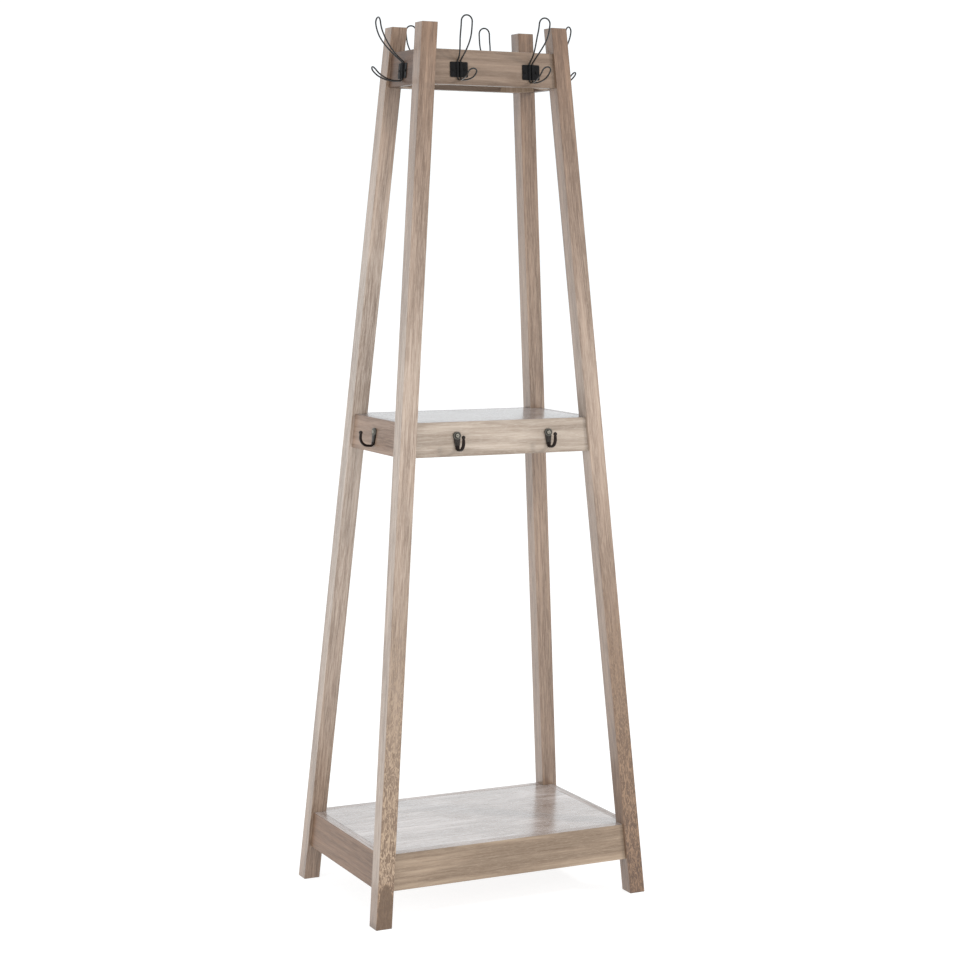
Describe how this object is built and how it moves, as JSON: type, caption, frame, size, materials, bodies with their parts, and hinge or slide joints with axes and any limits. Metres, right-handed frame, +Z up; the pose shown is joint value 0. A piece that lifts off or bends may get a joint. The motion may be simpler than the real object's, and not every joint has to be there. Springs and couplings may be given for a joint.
{
  "type": "coat rack",
  "caption": "Free-standing coat rack: leaning square legs joined by three boarded rail frames, sprung wire hooks round the top frame and small cast hooks round the middle one.",
  "frame": {"origin": "On the floor, in the middle of the four feet, so the centre of the bottom of the bounding box.", "axes": "+Z is up. The front face looks along -Y. +X is to the right for somebody who stands in front of the rack."},
  "size_m": [0.62, 0.42, 1.8148],
  "materials": {
    "limed_oak": "open-grained oak, limed and waxed, dull",
    "limed_oak_rail": "open-grained oak, limed and waxed, browner, dull",
    "pale_board": "oak-faced board, limed and waxed, buffed to a satin sheen",
    "plain_pine": "sawn softwood, unfinished",
    "beech_dowel": "fluted beech, unfinished",
    "zinc_steel": "bright zinc plate",
    "yellow_steel": "yellow passivated zinc plate",
    "black_bracket": "black semi-gloss enamel over pressed steel",
    "black_wire": "black enamelled steel wire",
    "black_screw": "blackened steel",
    "antique_cast": "dark bronze finish rubbed bright on the raised edges",
    "cast_hook_screw": "antiqued steel"
  },
  "bodies": {
    "root": {"leg_front_left": "limed_oak", "leg_front_right": "limed_oak", "leg_back_left": "limed_oak", "leg_back_right": "limed_oak", "lower_rail_front": "limed_oak_rail", "lower_rail_right": "limed_oak_rail", "lower_rail_back": "limed_oak_rail", "lower_rail_left": "limed_oak_rail", "middle_rail_front": "limed_oak_rail", "middle_rail_right": "limed_oak_rail", "middle_rail_back": "limed_oak_rail", "middle_rail_left": "limed_oak_rail", "top_rail_front": "limed_oak_rail", "top_rail_right": "limed_oak_rail", "top_rail_back": "limed_oak_rail", "top_rail_left": "limed_oak_rail", "lower_shelf_board": "pale_board", "middle_shelf_board": "pale_board", "top_board": "pale_board", "lower_block_front_left": "plain_pine", "lower_block_front_right": "plain_pine", "lower_block_back_left": "plain_pine", "lower_block_back_right": "plain_pine", "middle_block_front_left": "plain_pine", "middle_block_front_right": "plain_pine", "middle_block_back_left": "plain_pine", "middle_block_back_right": "plain_pine", "top_block_front_left": "plain_pine", "top_block_front_right": "plain_pine", "top_block_back_left": "plain_pine", "top_block_back_right": "plain_pine", "lower_shelf_cleats": "plain_pine", "middle_shelf_cleats": "plain_pine", "cleat_screws": "yellow_steel", "lower_frame_dowels": "beech_dowel", "middle_frame_dowels": "beech_dowel", "top_frame_dowels": "beech_dowel", "lag_screws": "zinc_steel", "lag_washers": "zinc_steel", "hook_bracket_front_left": "black_bracket", "hook_bracket_front_right": "black_bracket", "hook_bracket_back_left": "black_bracket", "hook_bracket_back_right": "black_bracket", "hook_bracket_right": "black_bracket", "hook_bracket_left": "black_bracket", "wire_hook_front_left": "black_wire", "wire_hook_front_right": "black_wire", "wire_hook_back_left": "black_wire", "wire_hook_back_right": "black_wire", "wire_hook_right": "black_wire", "wire_hook_left": "black_wire", "bracket_screws": "black_screw", "cast_hook_front_left": "antique_cast", "cast_hook_front_right": "antique_cast", "cast_hook_back_left": "antique_cast", "cast_hook_back_right": "antique_cast", "cast_hook_right": "antique_cast", "cast_hook_left": "antique_cast", "cast_hook_screws": "cast_hook_screw"}
  },
  "joints": []
}
